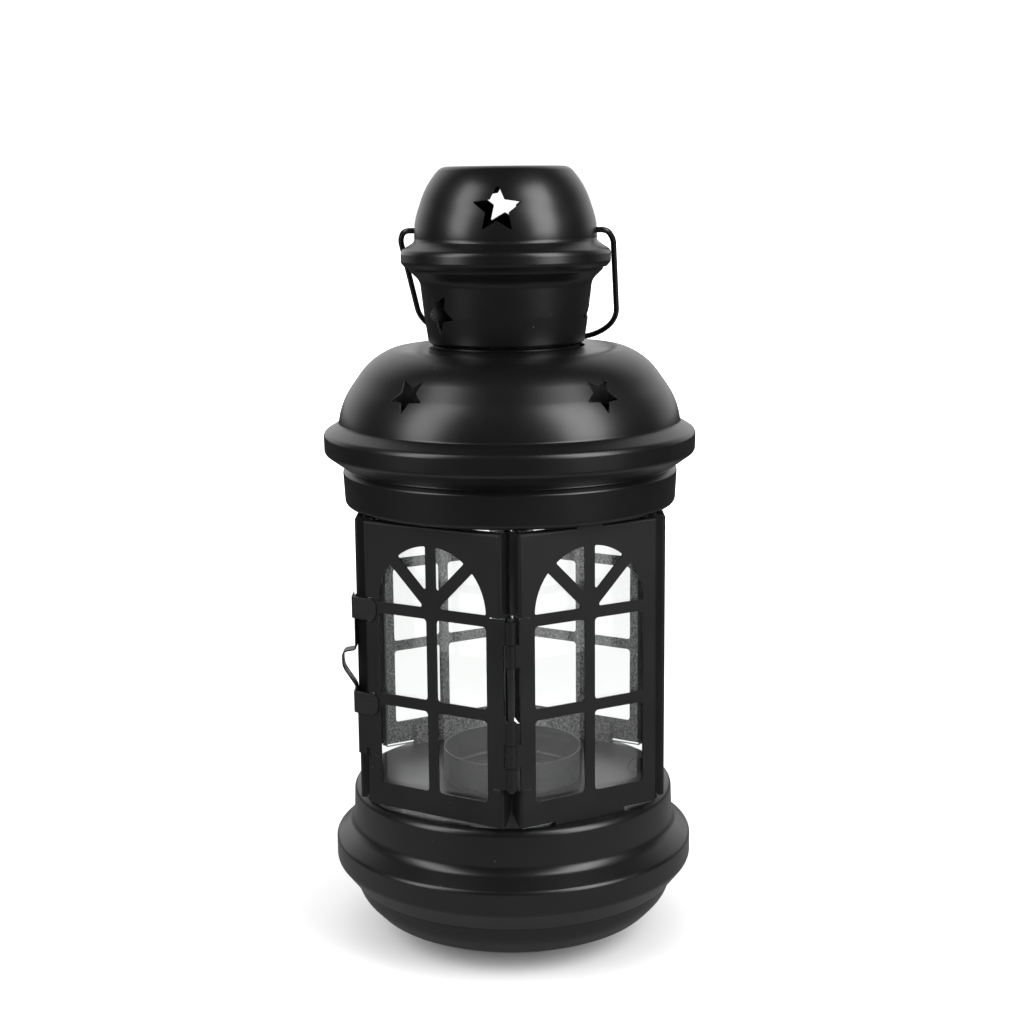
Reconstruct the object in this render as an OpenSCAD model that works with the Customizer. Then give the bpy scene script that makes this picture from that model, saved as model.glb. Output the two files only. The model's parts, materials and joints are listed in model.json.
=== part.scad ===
// Candle lantern: a pressed steel base and roof with a six-sided glazed cage between them.
// One cage panel is a door on a pin hinge, held by a strip that slides in two clips.
// A wire bail turns in the cap. Millimetres, +Z up, origin at the centre of the foot.
// The hinged corner of the cage faces -Y, and azimuths turn from -Y towards +X.

/* [Sheet and glass] */
// Thickness of the folded sheet steel of the cage
sheet = 0.5; // [0.4:0.1:0.6]
// Thickness of the pressed base and roof shells
shell = 0.6; // [0.5:0.1:0.7]
// Thickness of the glass panes
glass = 1.5; // [1.2:0.1:1.6]

/* [Overall] */
// Height of the lantern, from the foot to the top of the cap
total_h = 216; // [215:0.5:218]
// Widest radius, at the rib of the dome
rib_r = 51.5; // [51.2:0.1:52]

/* [Base] */
// Radius at which the flat foot turns up
foot_r = 24; // [22:0.5:26]
// Height of the seam between the bowl and the base shell
seam_z = 16.6; // [16:0.1:17]
// Radius of the rib round the base
base_rib_r = 50.8; // [50.3:0.1:51.2]
// Radius of the collar under the cage
collar_r = 45.3; // [45:0.1:45.6]
// Height of the top of the floor
floor_z = 43.9; // [43.6:0.1:44.2]

/* [Tealight cup] */
// Inner radius of the cup, for a standard tealight
cup_r = 19.05; // [18.9:0.05:19.3]
// Height of the cup above the floor
cup_h = 9.2; // [8:0.2:12]
// Thickness of the cup
cup_t = 0.4; // [0.3:0.1:0.6]

/* [Cage] */
// Distance from the axis to the outer face of a panel
apothem = 41.8; // [41.4:0.1:42]
// Width of a panel over its folds
panel_w = 42.6; // [42:0.2:43]
// Height of the lower edge of a panel
panel_z = 45.0; // [44.8:0.1:45.3]
// Height of the upper edge of a panel
panel_top = 123.7; // [123.4:0.1:123.9]
// Depth of the side flanges at the free side of the door
flange_d = 4.2; // [3.6:0.1:4.3]
// Depth of the side flanges that never move past each other
deep_flange_d = 4.8; // [4:0.1:4.8]
// Outer radius of the folds
fold_r = 0.9; // [0.7:0.1:1.2]

/* [Window] */
// Width of the window over all its panes
window_w = 33.7; // [32:0.1:35]
// Width of the glazing bars
bar_w = 3.05; // [2.6:0.05:3.6]
// Width of the two slanting bars of the fan
fan_bar_w = 3.3; // [2.6:0.1:3.6]
// Height of the lower edge of the lowest panes
window_z = 51.5; // [51:0.1:52]
// Height of a square pane
pane_h = 22.2; // [21:0.1:22.5]
// Radius of the corners of a pane
pane_r = 1.0; // [0.4:0.1:1.5]

/* [Hinge] */
// Distance from the axis of the lantern to the hinge pin
pin_reach = 47.5; // [47.3:0.1:47.7]
// Diameter of the hinge pin
pin_d = 1.64; // [1.5:0.02:1.7]
// Outer radius of a knuckle
knuckle_r = 1.42; // [1.36:0.02:1.5]
// Length of a knuckle
knuckle_l = 6.0; // [5.8:0.1:6.1]
// Radial clearance between the door's knuckles and the pin
pin_gap = 0.05; // [0.03:0.01:0.08]

/* [Latch] */
// Width of the sliding strip
strip_w = 4.3; // [4:0.1:4.4]
// Thickness of the sliding strip
strip_t = 0.4; // [0.3:0.05:0.45]
// How far the finger bow of the strip stands out from the panel
bow = 4.2; // [3.5:0.1:4.6]
// Thickness of the two clips
clip_t = 0.45; // [0.4:0.05:0.5]
// Height of a clip
clip_h = 5.9; // [5.6:0.1:6]

/* [Roof] */
// Height of the lower edge of the roof ring
ring_z = 124.4; // [124.3:0.1:124.8]
// Inner radius of the roof ring's flange
ring_hole_r = 36.5; // [35:0.5:37]
// Height of the seam between the roof ring and the dome
dome_z = 135.1; // [134.8:0.1:135.4]
// Height of the top of the dome, where the chimney stands
dome_top = 167.7; // [167.4:0.1:167.8]
// Height of the lower edge of the cap
cap_z = 189.1; // [189:0.1:189.3]
// How far the chimney, the cap and the bail stand off the axis, towards +x
roof_shift = -0.6; // [-0.6:0.1:0]

/* [Stars] */
// Radius over the points of a dome star
dome_star_r = 5.65; // [5:0.05:6]
// Radius over the points of a chimney star
chimney_star_r = 6.2; // [5.5:0.1:6.5]
// Radius over the points of a cap star
cap_star_r = 6.9; // [6:0.1:7]
// Inner radius of a star as a share of its outer radius
star_waist = 0.47; // [0.4:0.01:0.5]

/* [Bail] */
// Diameter of the wire
wire_d = 1.6; // [1.4:0.1:1.8]
// Height of the pivots in the cap
bail_z = 198.9; // [198.5:0.1:199.3]
// Distance from the pivots to the cross bar
bail_l = 48; // [47.6:0.1:48.4]
// Half the width of the bail over its shoulders, to the wire's centre
bail_w = 29.4; // [29.3:0.1:30]
// Angle between the resting bail and straight down
bail_lean = 47.8; // [47.8:0.1:60]
// Turn of the cap and the bail about the axis of the lantern
cap_turn = -6.6; // [-12:0.1:0]

/* [Hidden] */
$fn = 64;
eps = 0.01;
// Largest step along a rounded corner, in degrees
arc_step = 15;
black = [0.05, 0.05, 0.05];
steel = [0.35, 0.35, 0.36];
clear = [0.8, 0.9, 0.95, 0.35];

// Azimuths of the panels
door_az = -30;
front_right_az = 30;
right_az = 90;
back_right_az = 150;
back_left_az = -150;
left_az = -90;

// Panel
half_w = panel_w / 2;
glass_gap = 0.05;
glass_in = sheet + glass_gap;
lip_in = glass_in + glass + 2 * glass_gap;
lip_w = 21.8;
lip_z = 50.2;
lip_gap = 0.05;
glass_w = panel_w - 2 * sheet - 0.6;
glass_top = 120.8;
tab_w = 8;
tab_gap = 0.12;
tab_l = 2.6;
catch_r = 1.9;
catch_reach = 7.9;
catch_low_z = 55.3;
catch_high_z = 114.7;

// Window
window_r = window_w / 2;
pane_z2 = window_z + pane_h + bar_w;
fan_z = pane_z2 + pane_h + bar_w;
arch_z = fan_z - 0.3;
hub_z = fan_z + 0.3;

// Hinge
pin_x = pin_reach * sin(30);
pin_y = -pin_reach * cos(30);
door_knuckles = [55.8, 68.2, 95.0];
frame_knuckles = [62.0, 88.8];
leaf_z = 55.6;
leaf_top = 101.3;
leaf_edge = 21.9;
slit_h = 0.35;
slit_l = 3.6;

// Latch
strip_in = 0.15;
strip_edge = 22.9;
clip_in = strip_in + strip_t + 0.12;
clip_low_z = 70.2;
clip_high_z = 96.6;
bow_z = 82.8;
clip_front = 17.3;
clip_side = 5.2;
clip_corner = (apothem + clip_in - apothem * cos(60)) / sin(60);
ear_edge = 24.2;
ear_z = 58.8;

// Roof
chimney_r = 20.2;
star_cut = 8;

// --- Rounded outlines ---

function unit(v) = v / norm(v);
function left(v) = [-v[1], v[0]];
function xy(p) = [p[0], p[1]];
function turned(v, a) = [v[0] * cos(a) - v[1] * sin(a), v[0] * sin(a) + v[1] * cos(a)];
function turn_at(u, v) = atan2(u[0] * v[1] - u[1] * v[0], u * v);

// Points of the corner b between a and c, rounded to the radius r
function corner(a, b, c, r) =
    let(
        u = unit(b - a),
        t = turn_at(u, unit(c - b)),
        start = b - u * r * tan(abs(t) / 2),
        centre = start + left(u) * sign(t) * r,
        n = ceil(abs(t) / arc_step)
    )
    r == 0 || n == 0 ? [b] : [for (i = [0 : n]) centre + turned(start - centre, t * i / n)];

// An open path through corners [x, y, radius]
function path(q) =
    let(last = len(q) - 1)
    [for (i = [0 : last]) each i == 0 || i == last
        ? [xy(q[i])]
        : corner(xy(q[i - 1]), xy(q[i]), xy(q[i + 1]), q[i][2])];

// A closed loop through corners [x, y, radius]
function loop(q) =
    let(n = len(q))
    [for (i = [0 : n - 1]) each corner(xy(q[(i + n - 1) % n]), xy(q[i]), xy(q[(i + 1) % n]), q[i][2])];

// The corners of the path q moved to its left by w
function moved(q, w) =
    let(last = len(q) - 1)
    [for (i = [0 : last])
        let(
            u = unit(xy(q[max(i, 1)]) - xy(q[max(i, 1) - 1])),
            v = unit(xy(q[min(i, last - 1) + 1]) - xy(q[min(i, last - 1)])),
            p = xy(q[i]) + (left(u) + left(v)) * w / (1 + u * v)
        )
        [p[0], p[1], q[i][2] == 0 ? 0 : max(q[i][2] - sign(turn_at(u, v)) * w, 0.05)]];

// A sheet of thickness w whose outer line is the path q, with its body on the left of q
module bent_sheet(q, w) {
    back = path(moved(q, w));
    polygon(concat(path(q), [for (i = [len(back) - 1 : -1 : 0]) back[i]]));
}

// A shell of revolution of thickness w with the outer profile q, listed upwards
module pressed(q, w) {
    rotate_extrude($fn = 128) bent_sheet(q, w);
}

// --- Stars ---

module star(r) {
    tip = 0.25;
    polygon(loop([for (i = [0 : 9])
        let(reach = i % 2 == 0 ? r : r * star_waist)
        [reach * sin(i * 36), reach * cos(i * 36), tip]]));
}

// Cuts a star through a wall at azimuth az, radius r and height z, whose normal rises by tilt
module star_hole(az, r, z, tilt, size, roll) {
    rotate([0, 0, az])
        translate([0, -r, z])
            rotate([90 - tilt, 0, 0])
                rotate([0, 0, roll])
                    translate([0, 0, -star_cut / 2])
                        linear_extrude(star_cut) star(size);
}

// --- Base ---

// Narrow slots for the panels' tabs, through a sheet whose top is at z
module tab_slots(z) {
    for (az = [front_right_az, right_az, back_right_az, back_left_az, left_az])
        rotate([0, 0, az])
            translate([-tab_w / 2 - tab_gap, -apothem - tab_gap, z - 3 * shell])
                cube([tab_w + 2 * tab_gap, sheet + 2 * tab_gap, 5 * shell]);
}

// Pressed bowl that the lantern stands on
module base_bowl() color(black) pressed([
    [0, 0, 0],
    [foot_r, 0, 5],
    [40.0, 7.3, 5],
    [44.4, 12.0, 10],
    [45.6, seam_z - 0.6, 1],
    [45.6, seam_z + 6, 0]
], shell);

// Pressed upper part of the base: lip, rib, collar and floor in one
module base_shell() color(black) difference() {
    pressed([
        [46.3, seam_z, 0],
        [base_rib_r - 0.05, 22.3, 2.5],
        [base_rib_r, 28.6, 1.5],
        [collar_r + 0.4, 32.4, 3.5],
        [collar_r, floor_z, 2.2],
        [0, floor_z, 0]
    ], shell);
    tab_slots(floor_z);
    translate([0, 0, floor_z - 3]) cylinder(r = 1.55, h = 5);
}

// Cup that holds the tealight
module tealight_cup() color(steel) difference() {
    pressed([
        [0, floor_z, 0],
        [cup_r + cup_t, floor_z, 1.4],
        [cup_r + cup_t, floor_z + cup_h, 0]
    ], cup_t);
    translate([0, 0, floor_z - 1]) cylinder(r = 1.55, h = 3);
}

// Rivet that fixes the cup to the floor
module cup_rivet() color(steel) {
    translate([0, 0, floor_z - shell - 0.9]) cylinder(r = 1.5, h = shell + cup_t + 1.8);
    translate([0, 0, floor_z + cup_t]) cylinder(r1 = 3.1, r2 = 2.3, h = 0.8);
    translate([0, 0, floor_z - shell - 0.8]) cylinder(r1 = 2.2, r2 = 2.7, h = 0.8);
}

// --- Window outline, in the plane of a panel ---

module pane(x0, x1, z0, z1) {
    polygon(loop([[x0, z0, pane_r], [x1, z0, pane_r], [x1, z1, pane_r], [x0, z1, pane_r]]));
}

// Where a 45 degree line, d above the arch's centre at the axis, meets the arch
function arch_hit(d) = (sqrt(2 * window_r * window_r - d * d) - d) / 2;

// Points of the arch between two angles, without its ends
function arch_points(a0, a1) =
    [for (i = [1 : 5]) [
        window_r * cos(a0 + (a1 - a0) * i / 6),
        arch_z + window_r * sin(a0 + (a1 - a0) * i / 6),
        0
    ]];

// The two openings of one half of the fan
module fan_half() {
    low = hub_z - fan_bar_w * sqrt(0.5) - arch_z;
    high = hub_z + fan_bar_w * sqrt(0.5) - arch_z;
    bar = bar_w / 2;
    x_low = arch_hit(low);
    x_high = arch_hit(high);
    side_x = sqrt(window_r * window_r - pow(fan_z - arch_z, 2));
    polygon(loop(concat(
        [[fan_z - arch_z - low, fan_z, 0.6], [side_x, fan_z, 0.6]],
        arch_points(asin((fan_z - arch_z) / window_r), acos(x_low / window_r)),
        [[x_low, arch_z + x_low + low, 0.4]]
    )));
    polygon(loop(concat(
        [[bar, arch_z + bar + high, 0.6], [x_high, arch_z + x_high + high, 0.4]],
        arch_points(acos(x_high / window_r), acos(bar / window_r)),
        [[bar, arch_z + sqrt(window_r * window_r - bar * bar), 0.4]]
    )));
}

module window() {
    for (side = [0, 1]) mirror([side, 0]) {
        pane(bar_w / 2, window_r, window_z, window_z + pane_h);
        pane(bar_w / 2, window_r, pane_z2, pane_z2 + pane_h);
        fan_half();
    }
}

// --- Panels, drawn with their outer face at y = -apothem and turned into place ---

// A block across the panel between x0 and x1, from depth d0 to d1 and from z0 to z1
module slab(x0, x1, d0, d1, z0, z1) {
    translate([x0, -apothem + d0, z0]) cube([x1 - x0, d1 - d0, z1 - z0]);
}

// Face, two side flanges of the given depth and a top flange, folded from one sheet
module tray(depth) {
    difference() {
        intersection() {
            translate([0, 0, panel_z]) linear_extrude(panel_top - panel_z) polygon(loop([
                [-half_w, -apothem, fold_r],
                [half_w, -apothem, fold_r],
                [half_w, -apothem + depth, 0],
                [-half_w, -apothem + depth, 0]
            ]));
            rotate([90, 0, 90]) linear_extrude(panel_w + 2, center = true) polygon(loop([
                [-apothem, panel_z, 0],
                [-apothem + depth, panel_z, 0],
                [-apothem + depth, panel_top, 0],
                [-apothem, panel_top, fold_r]
            ]));
        }
        translate([0, 0, panel_z - 1]) linear_extrude(panel_top - panel_z + 1 - sheet) polygon(loop([
            [-half_w + sheet, -apothem + sheet, fold_r - sheet],
            [half_w - sheet, -apothem + sheet, fold_r - sheet],
            [half_w - sheet, -apothem + depth + 1, 0],
            [-half_w + sheet, -apothem + depth + 1, 0]
        ]));
        // the top flange is shorter than the side flanges, and notched at its corners
        slab(-half_w + 1.4, half_w - 1.4, 2.4, depth + 1, panel_top - 2, panel_top + 1);
        for (side = [-1, 1]) {
            x = side * (half_w - 1.0);
            slab(x - 0.4, x + 0.4, fold_r, depth + 1, panel_top - 1.2, panel_top + 1);
        }
        // the lower ends of the side flanges are cut at a slant
        rotate([90, 0, 90]) linear_extrude(panel_w + 2, center = true) polygon([
            [-apothem + 1.6, panel_z - eps],
            [-apothem + depth + eps, panel_z - eps],
            [-apothem + depth + eps, panel_z + 3.2]
        ]);
    }
}

// Bottom lip that carries the glass, with its underside at z0
module glass_lip(z0) {
    slab(-lip_w / 2, lip_w / 2, 0, lip_in + sheet, z0, z0 + sheet);
    slab(-lip_w / 2, lip_w / 2, lip_in, lip_in + sheet, z0, lip_z);
    slab(-lip_w / 2, lip_w / 2, 0, sheet, z0, panel_z + eps);
}

// Tongue bent from the +x side flange behind the glass
module glass_catch(z) {
    x0 = half_w - catch_reach + catch_r;
    slab(x0, half_w - sheet + eps, lip_in, lip_in + sheet, z - catch_r, z + catch_r);
    translate([x0, -apothem + lip_in + sheet, z]) rotate([90, 0, 0]) cylinder(r = catch_r, h = sheet);
}

// Everything that all six panels share
module panel_body(z0, depth) {
    difference() {
        tray(depth);
        rotate([90, 0, 0]) linear_extrude(apothem + 5) window();
    }
    glass_lip(z0);
    for (side = [0, 1]) mirror([side, 0, 0]) glass_catch(catch_high_z);
}

// Tabs through the floor and through the roof ring
module panel_tabs() {
    slab(-tab_w / 2, tab_w / 2, 0, sheet, floor_z - tab_l, panel_z);
    slab(-tab_w / 2, tab_w / 2, 0, sheet, panel_top - fold_r - eps, panel_top + tab_l);
}

module fixed_panel(az, depth) {
    rotate([0, 0, az]) {
        panel_body(floor_z + lip_gap, depth);
        panel_tabs();
    }
}

// Removes the flange between z0 and z1 on the +x side, with a relief slit at each end
module flange_gap(z0, z1) {
    slab(half_w - fold_r - eps, half_w + 1, -1, flange_d + 1, z0, z1);
    for (z = [z0 - slit_h, z1]) slab(half_w - slit_l, half_w + 1, -1, flange_d + 1, z, z + slit_h);
}

// One knuckle on the +x side, with its leaf
module knuckle(z0) {
    slab(half_w - fold_r - 2 * eps, pin_x, 0, sheet, z0, z0 + knuckle_l);
    translate([pin_x, pin_y, z0]) cylinder(r = knuckle_r, h = knuckle_l);
}

module pin_bore(r) {
    translate([pin_x, pin_y, leaf_z - 2]) cylinder(r = r, h = leaf_top - leaf_z + 4);
}

// Hinged panel, with flat ears under the latch clips on its free side
module door_panel() color(black) rotate([0, 0, door_az]) {
    difference() {
        union() {
            difference() {
                panel_body(panel_z, flange_d);
                flange_gap(leaf_z, leaf_top);
                mirror([1, 0, 0]) flange_gap(ear_z, clip_low_z + clip_h);
                mirror([1, 0, 0]) flange_gap(clip_high_z, clip_high_z + clip_h);
            }
            slab(half_w - fold_r - 2 * eps, leaf_edge, 0, sheet, leaf_z, leaf_top);
            slab(-ear_edge, -half_w + fold_r + 2 * eps, 0, sheet, ear_z, clip_low_z + clip_h);
            slab(-ear_edge, -half_w + fold_r + 2 * eps, 0, sheet, clip_high_z, clip_high_z + clip_h);
            for (z = door_knuckles) knuckle(z);
        }
        pin_bore(pin_d / 2 + pin_gap);
        // relief at the foot of the lower ear
        slab(-half_w - 0.2, -half_w + 0.7, -1, sheet + 1, ear_z - slit_h - eps, ear_z + 1.8);
    }
}

// Fixed panel that carries the hinge pin
module panel_front_right() color(black) rotate([0, 0, front_right_az]) {
    difference() {
        union() {
            difference() {
                panel_body(floor_z + lip_gap, deep_flange_d);
                mirror([1, 0, 0]) flange_gap(leaf_z, leaf_top);
            }
            mirror([1, 0, 0]) {
                slab(half_w - fold_r - 2 * eps, half_w, 0, sheet, leaf_z, leaf_top);
                for (z = frame_knuckles) knuckle(z);
            }
            glass_catch(catch_low_z);
            panel_tabs();
        }
        mirror([1, 0, 0]) pin_bore(pin_d / 2 - 0.02);
    }
}

module panel_right() color(black) fixed_panel(right_az, deep_flange_d);
module panel_back_right() color(black) fixed_panel(back_right_az, deep_flange_d);
module panel_back_left() color(black) fixed_panel(back_left_az, deep_flange_d);
module panel_left() color(black) fixed_panel(left_az, flange_d);

// --- Glass ---

// A pane that stands on a lip whose underside is at z0
module glass_pane(az, z0) {
    bottom = z0 + sheet + glass_gap;
    rotate([0, 0, az]) slab(-glass_w / 2, glass_w / 2, glass_in, glass_in + glass, bottom, glass_top);
}

module glass_door() color(clear) glass_pane(door_az, panel_z);
module glass_front_right() color(clear) glass_pane(front_right_az, floor_z + lip_gap);
module glass_right() color(clear) glass_pane(right_az, floor_z + lip_gap);
module glass_back_right() color(clear) glass_pane(back_right_az, floor_z + lip_gap);
module glass_back_left() color(clear) glass_pane(back_left_az, floor_z + lip_gap);
module glass_left() color(clear) glass_pane(left_az, floor_z + lip_gap);

// --- Hinge pin and latch ---

module hinge_pin() color(black) translate([0, -pin_reach, leaf_z - 0.5]) {
    cylinder(d = pin_d, h = leaf_top - leaf_z + 1.1);
}

// Clip that lies on the door's face and wraps the corner over the strip
module latch_clip(z) {
    reach = clip_corner + clip_side;
    end_r = 2.3;
    rotate([0, 0, door_az]) intersection() {
        translate([0, 0, z]) linear_extrude(clip_h) bent_sheet([
            [-clip_front, -apothem, 0],
            [-clip_corner, -apothem, 0.6],
            [-clip_corner - clip_side * cos(60), -apothem + clip_side * sin(60), 0]
        ], clip_t);
        rotate([90, 0, 0]) linear_extrude(apothem + 2) polygon(loop([
            [-reach, z, 0],
            [-clip_front, z, end_r],
            [-clip_front, z + clip_h, end_r],
            [-reach, z + clip_h, 0]
        ]));
    }
}

module latch_clip_upper() color(black) latch_clip(clip_high_z);
module latch_clip_lower() color(black) latch_clip(clip_low_z);

// Spring strip with a finger bow between the clips; it slides up and down in them
module latch_strip() color(black) rotate([0, 0, left_az]) translate([strip_edge, -apothem, 0])
    rotate([90, 0, -90]) linear_extrude(strip_w) bent_sheet([
        [strip_in, clip_low_z - 0.6, 0],
        [strip_in, clip_low_z + clip_h + 1.0, 4],
        [bow - strip_t, bow_z, 4.5],
        [bow - strip_t, bow_z + 3.9, 1.3],
        [strip_in, bow_z + 4.5, 1.0],
        [strip_in, clip_high_z + clip_h - 0.4, 0]
    ], -strip_t);

// --- Roof ---

// Skirt under the dome, with an inward flange that takes the panels' tabs
module roof_ring() color(black) difference() {
    pressed([
        [ring_hole_r, ring_z, 0],
        [45.9, ring_z, 1.5],
        [46.4, 133.5, 0.8],
        [45.3, dome_z - 0.3, 0.6],
        [45.2, dome_z + 5, 0]
    ], shell);
    tab_slots(ring_z + shell);
}

// Dome with a rolled rib at its foot and five stars
module roof_dome() color(black) difference() {
    pressed([
        [45.9, dome_z, 0],
        [rib_r - 0.1, 139.0, 1.6],
        [rib_r, 144.4, 1.8],
        [47.3, 146.9, 0.9],
        [46.45, 152.7, 21],
        [38.35, 164.2, 18],
        [31.6, dome_top - 0.35, 9],
        [chimney_r + 0.75, dome_top, 0]
    ], shell);
    for (i = [0 : 4]) star_hole(34.4 + 72 * i, 42.7, 157.8, 33, dome_star_r, 180);
}

// Tapered chimney, open at both ends, with three stars and a flared top
module chimney() color(black) translate([roof_shift, 0, 0]) difference() {
    pressed([
        [chimney_r, dome_top - 2.6, 0],
        [chimney_r, dome_top + 0.3, 0.3],
        [21.5, dome_top + 1.3, 0.9],
        [22.6, 176.5, 30],
        [23.6, 185.5, 4],
        [26.5, 188.3, 1.2],
        [27.1, 191.3, 0]
    ], shell);
    for (az = [-53, 83, 195.5]) star_hole(az, 22.7, 177.5, -7, chimney_star_r, 180);
}

// Cap over the chimney, with two stars and the bail's pivot holes
module cap() color(black) translate([roof_shift, 0, 0]) difference() {
    pressed([
        [27.6, cap_z, 0],
        [28.7, 190.4, 1.3],
        [28.7, 193.6, 1.8],
        [24.9, 196.1, 1.5],
        [25.05, 200.8, 20],
        [21.6, 211.05, 22],
        [17.4, total_h, 3.7],
        [0, total_h, 0]
    ], shell);
    star_hole(cap_turn + 1.6, 23.5, 205.0, 18, cap_star_r, 0);
    star_hole(cap_turn + 187.3, 23.3, 206.6, 18, cap_star_r, 0);
    rotate([0, 0, cap_turn])
        translate([0, 0, bail_z])
            rotate([0, 90, 0]) cylinder(d = wire_d + 0.16, h = 60, center = true);
}

// --- Bail ---

// How far the loose bail has slid along its pivots
bail_shift = -0.2;

// Corners of one half of the bail in its own plane: across, and down from the pivots
bail_half = [
    [25.0, 0, 0],
    [27.9, 0, 2.4],
    [bail_w, 3.6, 9],
    [bail_w - 0.7, bail_l, 14],
    [0, bail_l, 0]
];

// Centre line of the whole bail
bail_line = let(half = path(bail_half)) concat(
    [for (p = half) [p[0], -p[1]]],
    [for (i = [len(half) - 2 : -1 : 0]) [-half[i][0], -half[i][1]]]
);

// Round wire of radius r along the plane line q, as rings of n points
module wire(q, r, n) {
    last = len(q) - 1;
    rings = [for (i = [0 : last])
        let(across = left(unit(q[min(i + 1, last)] - q[max(i - 1, 0)])))
        for (k = [0 : n - 1])
            let(c = r * cos(360 * k / n), s = r * sin(360 * k / n))
            [q[i][0] + across[0] * c, s, q[i][1] + across[1] * c]];
    sides = [for (i = [0 : last - 1], k = [0 : n - 1])
        let(a = i * n + k, b = i * n + (k + 1) % n)
        each [[a, b, b + n], [a, b + n, a + n]]];
    ends = [[for (k = [n - 1 : -1 : 0]) k], [for (k = [0 : n - 1]) last * n + k]];
    polyhedron(rings, concat(sides, ends));
}

module bail_handle() color(black)
    translate([roof_shift, 0, bail_z])
        rotate([0, 0, cap_turn]) translate([bail_shift, 0, 0]) rotate([bail_lean, 0, 0]) {
            wire(bail_line, wire_d / 2 - eps, 12);
            for (side = [0, 180])
                rotate([0, 0, side]) translate([22.2, 0, 0]) rotate([0, 90, 0]) cylinder(d = wire_d, h = 3.2);
        }

base_bowl();
base_shell();
tealight_cup();
cup_rivet();
door_panel();
panel_front_right();
panel_right();
panel_back_right();
panel_back_left();
panel_left();
glass_door();
glass_front_right();
glass_right();
glass_back_right();
glass_back_left();
glass_left();
hinge_pin();
latch_clip_upper();
latch_clip_lower();
latch_strip();
roof_ring();
roof_dome();
chimney();
cap();
bail_handle();
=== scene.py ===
"""Looks of the candle lantern: pressed shells, softened sheet edges, wire, paint, glass and a studio."""

import json
import math

import bmesh
import bpy
import numpy as np
from mathutils import Matrix, Vector


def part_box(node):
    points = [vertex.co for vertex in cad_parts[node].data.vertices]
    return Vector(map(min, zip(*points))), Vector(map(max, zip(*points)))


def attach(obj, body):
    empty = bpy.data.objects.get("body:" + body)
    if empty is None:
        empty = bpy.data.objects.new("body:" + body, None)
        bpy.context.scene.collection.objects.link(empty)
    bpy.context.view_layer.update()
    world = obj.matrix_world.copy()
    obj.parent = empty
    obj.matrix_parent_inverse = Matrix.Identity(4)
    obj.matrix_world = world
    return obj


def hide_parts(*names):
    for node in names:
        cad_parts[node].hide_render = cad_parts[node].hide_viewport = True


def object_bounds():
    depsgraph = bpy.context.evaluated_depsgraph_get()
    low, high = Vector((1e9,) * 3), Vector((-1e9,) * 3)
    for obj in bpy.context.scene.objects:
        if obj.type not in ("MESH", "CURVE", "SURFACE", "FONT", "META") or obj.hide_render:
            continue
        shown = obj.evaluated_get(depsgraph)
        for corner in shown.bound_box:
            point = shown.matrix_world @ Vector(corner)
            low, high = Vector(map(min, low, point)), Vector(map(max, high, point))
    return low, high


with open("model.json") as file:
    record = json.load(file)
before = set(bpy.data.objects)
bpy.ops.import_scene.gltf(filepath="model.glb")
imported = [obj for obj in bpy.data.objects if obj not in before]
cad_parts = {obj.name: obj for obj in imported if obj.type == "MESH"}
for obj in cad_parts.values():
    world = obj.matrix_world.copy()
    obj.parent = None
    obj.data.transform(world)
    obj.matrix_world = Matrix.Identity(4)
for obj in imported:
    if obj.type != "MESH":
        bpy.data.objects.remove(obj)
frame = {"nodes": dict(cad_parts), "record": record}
cad_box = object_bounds()

MM = 0.001
BODY_OF = {
    node: body
    for body, nodes in frame["record"]["behaviour"]["bodies"].items()
    for node in nodes
}

# --- Sizes that the shells share with the CAD model, in millimetres ---

SHELL = 0.6
EDGE_BEND = 0.16
BEND_STEP = math.radians(6)
AROUND = 176

BASE_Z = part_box("base_bowl")[0].z / MM
SEAM_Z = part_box("base_shell")[0].z / MM
FLOOR_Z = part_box("base_shell")[1].z / MM
RING_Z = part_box("roof_ring")[0].z / MM
DOME_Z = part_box("roof_dome")[0].z / MM
DOME_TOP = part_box("roof_dome")[1].z / MM
CAP_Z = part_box("cap")[0].z / MM
TOP_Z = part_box("cap")[1].z / MM

CUP_WALL = 0.4
CUP_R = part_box("tealight_cup")[1].x / MM
CUP_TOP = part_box("tealight_cup")[1].z / MM
RIVET_R = 1.55
SHEET = 0.5
TAB_W = 8.0
TAB_GAP = 0.12
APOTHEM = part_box("panel_right")[1].x / MM
FIXED_AZIMUTHS = (30, 90, 150, -150, -90)

STAR_WAIST = 0.47
STAR_TIP = 0.25
DOME_STARS = 5
ROOF_SHIFT = Vector((-0.6, 0, 0))
CAP_TURN = -6.6

BAIL_Z = 198.9
BAIL_SHIFT = -0.2
BAIL_LEAN = 47.8
WIRE_D = 1.6
BAIL_CORNERS = [
    (22.2, 0, 0),
    (27.9, 0, 2.4),
    (29.4, 3.6, 9),
    (28.7, 48, 14),
    (-28.7, 48, 14),
    (-29.4, 3.6, 9),
    (-27.9, 0, 2.4),
    (-22.2, 0, 0),
]


# --- Outlines ---


def turned(v, angle):
    c, s = math.cos(angle), math.sin(angle)
    return Vector((v[0] * c - v[1] * s, v[0] * s + v[1] * c))


def arc_at(before, here, after, bend):
    """The corner at here, rounded to the radius bend, as (point, unit normal) pairs.

    The inside of the outline is on its left.
    """
    u = (here - before).normalized()
    v = (after - here).normalized()
    turn = math.atan2(u.x * v.y - u.y * v.x, u.dot(v))
    if bend == 0 or abs(turn) < 1e-4:
        return [(here, Vector((v.y, -v.x)))]
    side = math.copysign(1, turn)
    start = here - u * bend * math.tan(abs(turn) / 2)
    centre = start + Vector((-u.y, u.x)) * side * bend
    steps = max(2, math.ceil(abs(turn) / BEND_STEP))
    spokes = [turned(start - centre, turn * k / steps) for k in range(steps + 1)]
    return [(centre + spoke, spoke * side / bend) for spoke in spokes]


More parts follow.
